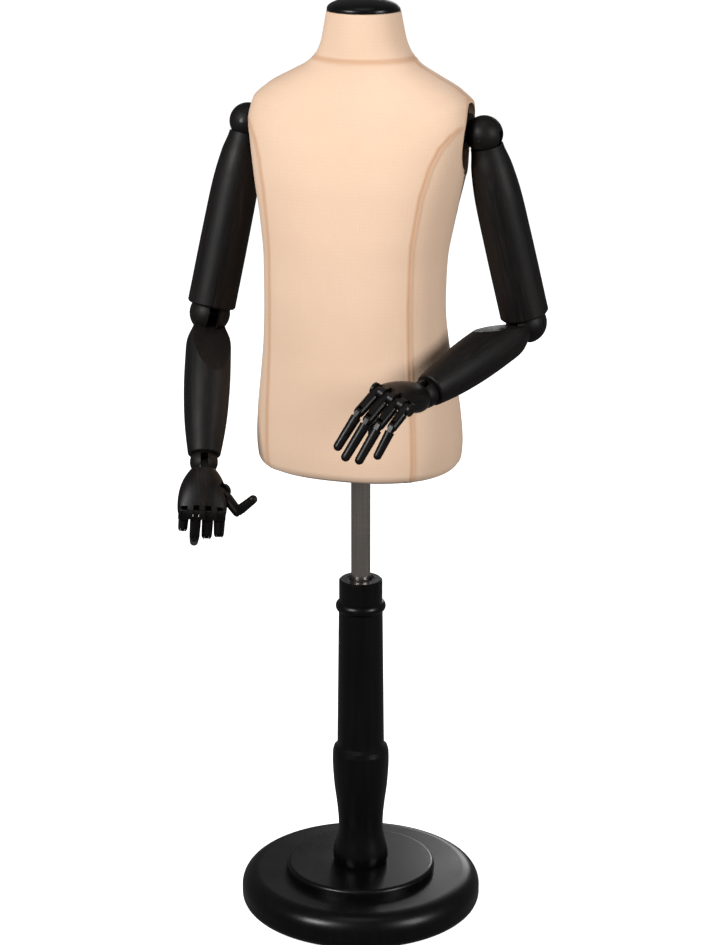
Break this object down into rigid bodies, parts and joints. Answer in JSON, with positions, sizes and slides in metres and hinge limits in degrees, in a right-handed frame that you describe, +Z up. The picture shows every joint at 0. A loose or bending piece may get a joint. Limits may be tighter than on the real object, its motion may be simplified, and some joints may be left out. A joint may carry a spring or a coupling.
{
  "type": "dress form with jointed arms",
  "caption": "Child-size fabric-covered display torso on a round turned stand with a height-adjustable pole and a pair of jointed wooden arms with articulated hands.",
  "frame": {"origin": "on the floor, under the middle of the round base", "axes": "+Z up along the pole; the figure faces -Y, and its left arm is on +X"},
  "size_m": [0.3978, 0.3547, 1.061],
  "materials": {
    "linen": "matte",
    "black_wood": "satin",
    "shell": "matte",
    "board": "matte",
    "bright_steel": "satin",
    "hardware": "satin",
    "nylon": "matte",
    "felt": "matte"
  },
  "bodies": {
    "stand": {"base_felt": "felt", "base_disc": "black_wood", "base_step": "black_wood", "base_bolt": "hardware", "column": "black_wood", "column_sleeve": "bright_steel", "pole_bush": "nylon"},
    "pole": {"pole": "bright_steel", "pole_expander": "nylon", "expander_screw": "hardware"},
    "torso": {"pole_flange": "hardware", "bottom_board": "board", "torso_shell": "shell", "torso_cover": "linen", "neck_block": "board", "neck_cap": "black_wood", "wood_screws": "hardware", "shoulder_bolts": "hardware", "arm_plate_left": "black_wood", "arm_plate_right": "black_wood"},
    "shoulder_left": {"shoulder_ball_left": "black_wood", "shoulder_pin_left": "hardware"},
    "upper_left": {"upper_arm_left": "black_wood"},
    "elbow_left": {"elbow_ball_left": "black_wood", "elbow_pin_left": "hardware"},
    "fore_left": {"forearm_left": "black_wood"},
    "wrist_left": {"wrist_ball_left": "black_wood", "wrist_pin_left": "hardware"},
    "hand_left": {"palm_left": "black_wood", "knuckle_pins_left": "hardware"},
    "index_base_left": {"index_base_left": "black_wood"},
    "index_tip_left": {"index_tip_left": "black_wood"},
    "middle_base_left": {"middle_base_left": "black_wood"},
    "middle_tip_left": {"middle_tip_left": "black_wood"},
    "ring_base_left": {"ring_base_left": "black_wood"},
    "ring_tip_left": {"ring_tip_left": "black_wood"},
    "little_base_left": {"little_base_left": "black_wood"},
    "little_tip_left": {"little_tip_left": "black_wood"},
    "thumb_base_left": {"thumb_base_left": "black_wood"},
    "thumb_tip_left": {"thumb_tip_left": "black_wood"},
    "shoulder_right": {"shoulder_ball_right": "black_wood", "shoulder_pin_right": "hardware"},
    "upper_right": {"upper_arm_right": "black_wood"},
    "elbow_right": {"elbow_ball_right": "black_wood", "elbow_pin_right": "hardware"},
    "fore_right": {"forearm_right": "black_wood"},
    "wrist_right": {"wrist_ball_right": "black_wood", "wrist_pin_right": "hardware"},
    "hand_right": {"palm_right": "black_wood", "knuckle_pins_right": "hardware"},
    "index_base_right": {"index_base_right": "black_wood"},
    "index_tip_right": {"index_tip_right": "black_wood"},
    "middle_base_right": {"middle_base_right": "black_wood"},
    "middle_tip_right": {"middle_tip_right": "black_wood"},
    "ring_base_right": {"ring_base_right": "black_wood"},
    "ring_tip_right": {"ring_tip_right": "black_wood"},
    "little_base_right": {"little_base_right": "black_wood"},
    "little_tip_right": {"little_tip_right": "black_wood"},
    "thumb_base_right": {"thumb_base_right": "black_wood"},
    "thumb_tip_right": {"thumb_tip_right": "black_wood"}
  },
  "joints": [
    {"name": "pole_height", "type": "slide", "parent": "stand", "child": "pole", "axis": [0, 0, 1], "range_m": [-0.12, 0.1]},
    {"name": "torso_turn", "type": "hinge", "parent": "pole", "child": "torso", "pos_m": [0, 0, 0.6], "axis": [0, 0, 1], "continuous": true},
    {"name": "shoulder_swing_left", "type": "hinge", "parent": "torso", "child": "shoulder_left", "pos_m": [0.136, 0.012, 0.92], "axis": [-0.9903, 0, 0.1392], "range_deg": [-3, 159]},
    {"name": "shoulder_lift_left", "type": "hinge", "parent": "shoulder_left", "child": "upper_left", "pos_m": [0.136, 0.012, 0.92], "axis": [-0.0218, -0.9877, -0.1549], "range_deg": [0, 69]},
    {"name": "elbow_turn_left", "type": "hinge", "parent": "upper_left", "child": "elbow_left", "pos_m": [0.17795, 0.04424, 0.70852], "axis": [0.1924, 0.1479, -0.9701], "range_deg": [-97, 2]},
    {"name": "elbow_bend_left", "type": "hinge", "parent": "elbow_left", "child": "fore_left", "pos_m": [0.17795, 0.04424, 0.70852], "axis": [-0.9015, 0.4172, -0.1152], "range_deg": [-87, 1]},
    {"name": "wrist_turn_left", "type": "hinge", "parent": "fore_left", "child": "wrist_left", "pos_m": [0.11083, -0.11377, 0.66151], "axis": [-0.3771, -0.8877, -0.2641], "range_deg": [-64, 86]},
    {"name": "wrist_bend_left", "type": "hinge", "parent": "wrist_left", "child": "hand_left", "pos_m": [0.11083, -0.11377, 0.66151], "axis": [-0.9034, 0.2897, 0.3162], "range_deg": [-54, 26]},
    {"name": "index_knuckle_left", "type": "hinge", "parent": "hand_left", "child": "index_base_left", "pos_m": [0.077, -0.16742, 0.67569], "axis": [0.8937, -0.3229, -0.3115], "range_deg": [-58, 32]},
    {"name": "index_middle_left", "type": "hinge", "parent": "index_base_left", "child": "index_tip_left", "pos_m": [0.0631, -0.18783, 0.65695], "axis": [0.8937, -0.3229, -0.3115], "range_deg": [-20, 55]},
    {"name": "middle_knuckle_left", "type": "hinge", "parent": "hand_left", "child": "middle_base_left", "pos_m": [0.08875, -0.17119, 0.67158], "axis": [0.9011, -0.298, -0.3151], "range_deg": [-60, 22]},
    {"name": "middle_middle_left", "type": "hinge", "parent": "middle_base_left", "child": "middle_tip_left", "pos_m": [0.07444, -0.19229, 0.65063], "axis": [0.9011, -0.298, -0.3151], "range_deg": [-18, 48]},
    {"name": "ring_knuckle_left", "type": "hinge", "parent": "hand_left", "child": "ring_base_left", "pos_m": [0.10049, -0.17496, 0.66747], "axis": [0.9078, -0.2729, -0.3184], "range_deg": [-62, 28]},
    {"name": "ring_middle_left", "type": "hinge", "parent": "ring_base_left", "child": "ring_tip_left", "pos_m": [0.0875, -0.19414, 0.64688], "axis": [0.9078, -0.2729, -0.3184], "range_deg": [-18, 57]},
    {"name": "little_knuckle_left", "type": "hinge", "parent": "hand_left", "child": "little_base_left", "pos_m": [0.11223, -0.17872, 0.66336], "axis": [0.9194, -0.2222, -0.3245], "range_deg": [-60, 30]},
    {"name": "little_middle_left", "type": "hinge", "parent": "little_base_left", "child": "little_tip_left", "pos_m": [0.10216, -0.19569, 0.64643], "axis": [0.9194, -0.2222, -0.3245], "range_deg": [-24, 51]},
    {"name": "thumb_knuckle_left", "type": "hinge", "parent": "hand_left", "child": "thumb_base_left", "pos_m": [0.08229, -0.14028, 0.67067], "axis": [-0.5631, 0.746, -0.3555], "range_deg": [-1, 75]},
    {"name": "thumb_middle_left", "type": "hinge", "parent": "thumb_base_left", "child": "thumb_tip_left", "pos_m": [0.06912, -0.15828, 0.65374], "axis": [-0.5631, 0.746, -0.3555], "range_deg": [-4, 125]},
    {"name": "shoulder_swing_right", "type": "hinge", "parent": "torso", "child": "shoulder_right", "pos_m": [-0.136, 0.012, 0.92], "axis": [-0.9903, 0, -0.1392], "range_deg": [-8, 140]},
    {"name": "shoulder_lift_right", "type": "hinge", "parent": "shoulder_right", "child": "upper_right", "pos_m": [-0.136, 0.012, 0.92], "axis": [0.0242, 0.9848, -0.172], "range_deg": [0, 71]},
    {"name": "elbow_turn_right", "type": "hinge", "parent": "upper_right", "child": "elbow_right", "pos_m": [-0.17054, -0.0242, 0.70782], "axis": [0.1585, 0.1661, 0.9733], "range_deg": [-98, 6]},
    {"name": "elbow_bend_right", "type": "hinge", "parent": "elbow_right", "child": "fore_right", "pos_m": [-0.17054, -0.0242, 0.70782], "axis": [-0.7927, -0.5663, 0.2257], "range_deg": [-32, 56]},
    {"name": "wrist_turn_right", "type": "hinge", "parent": "fore_right", "child": "wrist_right", "pos_m": [-0.13894, -0.12542, 0.56485], "axis": [-0.1776, 0.5686, 0.8032], "range_deg": [-59, 91]},
    {"name": "wrist_bend_right", "type": "hinge", "parent": "wrist_right", "child": "hand_right", "pos_m": [-0.13894, -0.12542, 0.56485], "axis": [-0.9227, -0.3799, 0.065], "range_deg": [-56, 44]},
    {"name": "index_knuckle_right", "type": "hinge", "parent": "hand_right", "child": "index_base_right", "pos_m": [-0.10778, -0.1578, 0.51789], "axis": [0.9148, 0.4021, -0.0392], "range_deg": [-82, 8]},
    {"name": "index_middle_right", "type": "hinge", "parent": "index_base_right", "child": "index_tip_right", "pos_m": [-0.11492, -0.14418, 0.49098], "axis": [0.9148, 0.4021, -0.0392], "range_deg": [-70, 5]},
    {"name": "middle_knuckle_right", "type": "hinge", "parent": "hand_right", "child": "middle_base_right", "pos_m": [-0.11977, -0.16274, 0.51874], "axis": [0.9209, 0.3855, -0.0585], "range_deg": [-80, 10]},
    {"name": "middle_middle_right", "type": "hinge", "parent": "middle_base_right", "child": "middle_tip_right", "pos_m": [-0.12726, -0.14929, 0.48955], "axis": [0.9209, 0.3855, -0.0585], "range_deg": [-66, 9]},
    {"name": "ring_knuckle_right", "type": "hinge", "parent": "hand_right", "child": "ring_base_right", "pos_m": [-0.13177, -0.16768, 0.51958], "axis": [0.9263, 0.3687, -0.0778], "range_deg": [-70, 20]},
    {"name": "ring_middle_right", "type": "hinge", "parent": "ring_base_right", "child": "ring_tip_right", "pos_m": [-0.13736, -0.15984, 0.49012], "axis": [0.9263, 0.3687, -0.0778], "range_deg": [-46, 29]},
    {"name": "little_knuckle_right", "type": "hinge", "parent": "hand_right", "child": "little_base_right", "pos_m": [-0.14377, -0.17262, 0.52043], "axis": [0.9353, 0.3342, -0.1162], "range_deg": [-86, 4]},
    {"name": "little_middle_right", "type": "hinge", "parent": "little_base_right", "child": "little_tip_right", "pos_m": [-0.15095, -0.16, 0.49886], "axis": [0.9353, 0.3342, -0.1162], "range_deg": [-66, 9]},
    {"name": "thumb_knuckle_right", "type": "hinge", "parent": "hand_right", "child": "thumb_base_right", "pos_m": [-0.11298, -0.13793, 0.53709], "axis": [-0.2742, -0.9587, -0.075], "range_deg": [-45, 25]},
    {"name": "thumb_middle_right", "type": "hinge", "parent": "thumb_base_right", "child": "thumb_tip_right", "pos_m": [-0.09343, -0.14198, 0.51746], "axis": [-0.2742, -0.9587, -0.075], "range_deg": [-139, 1]}
  ]
}
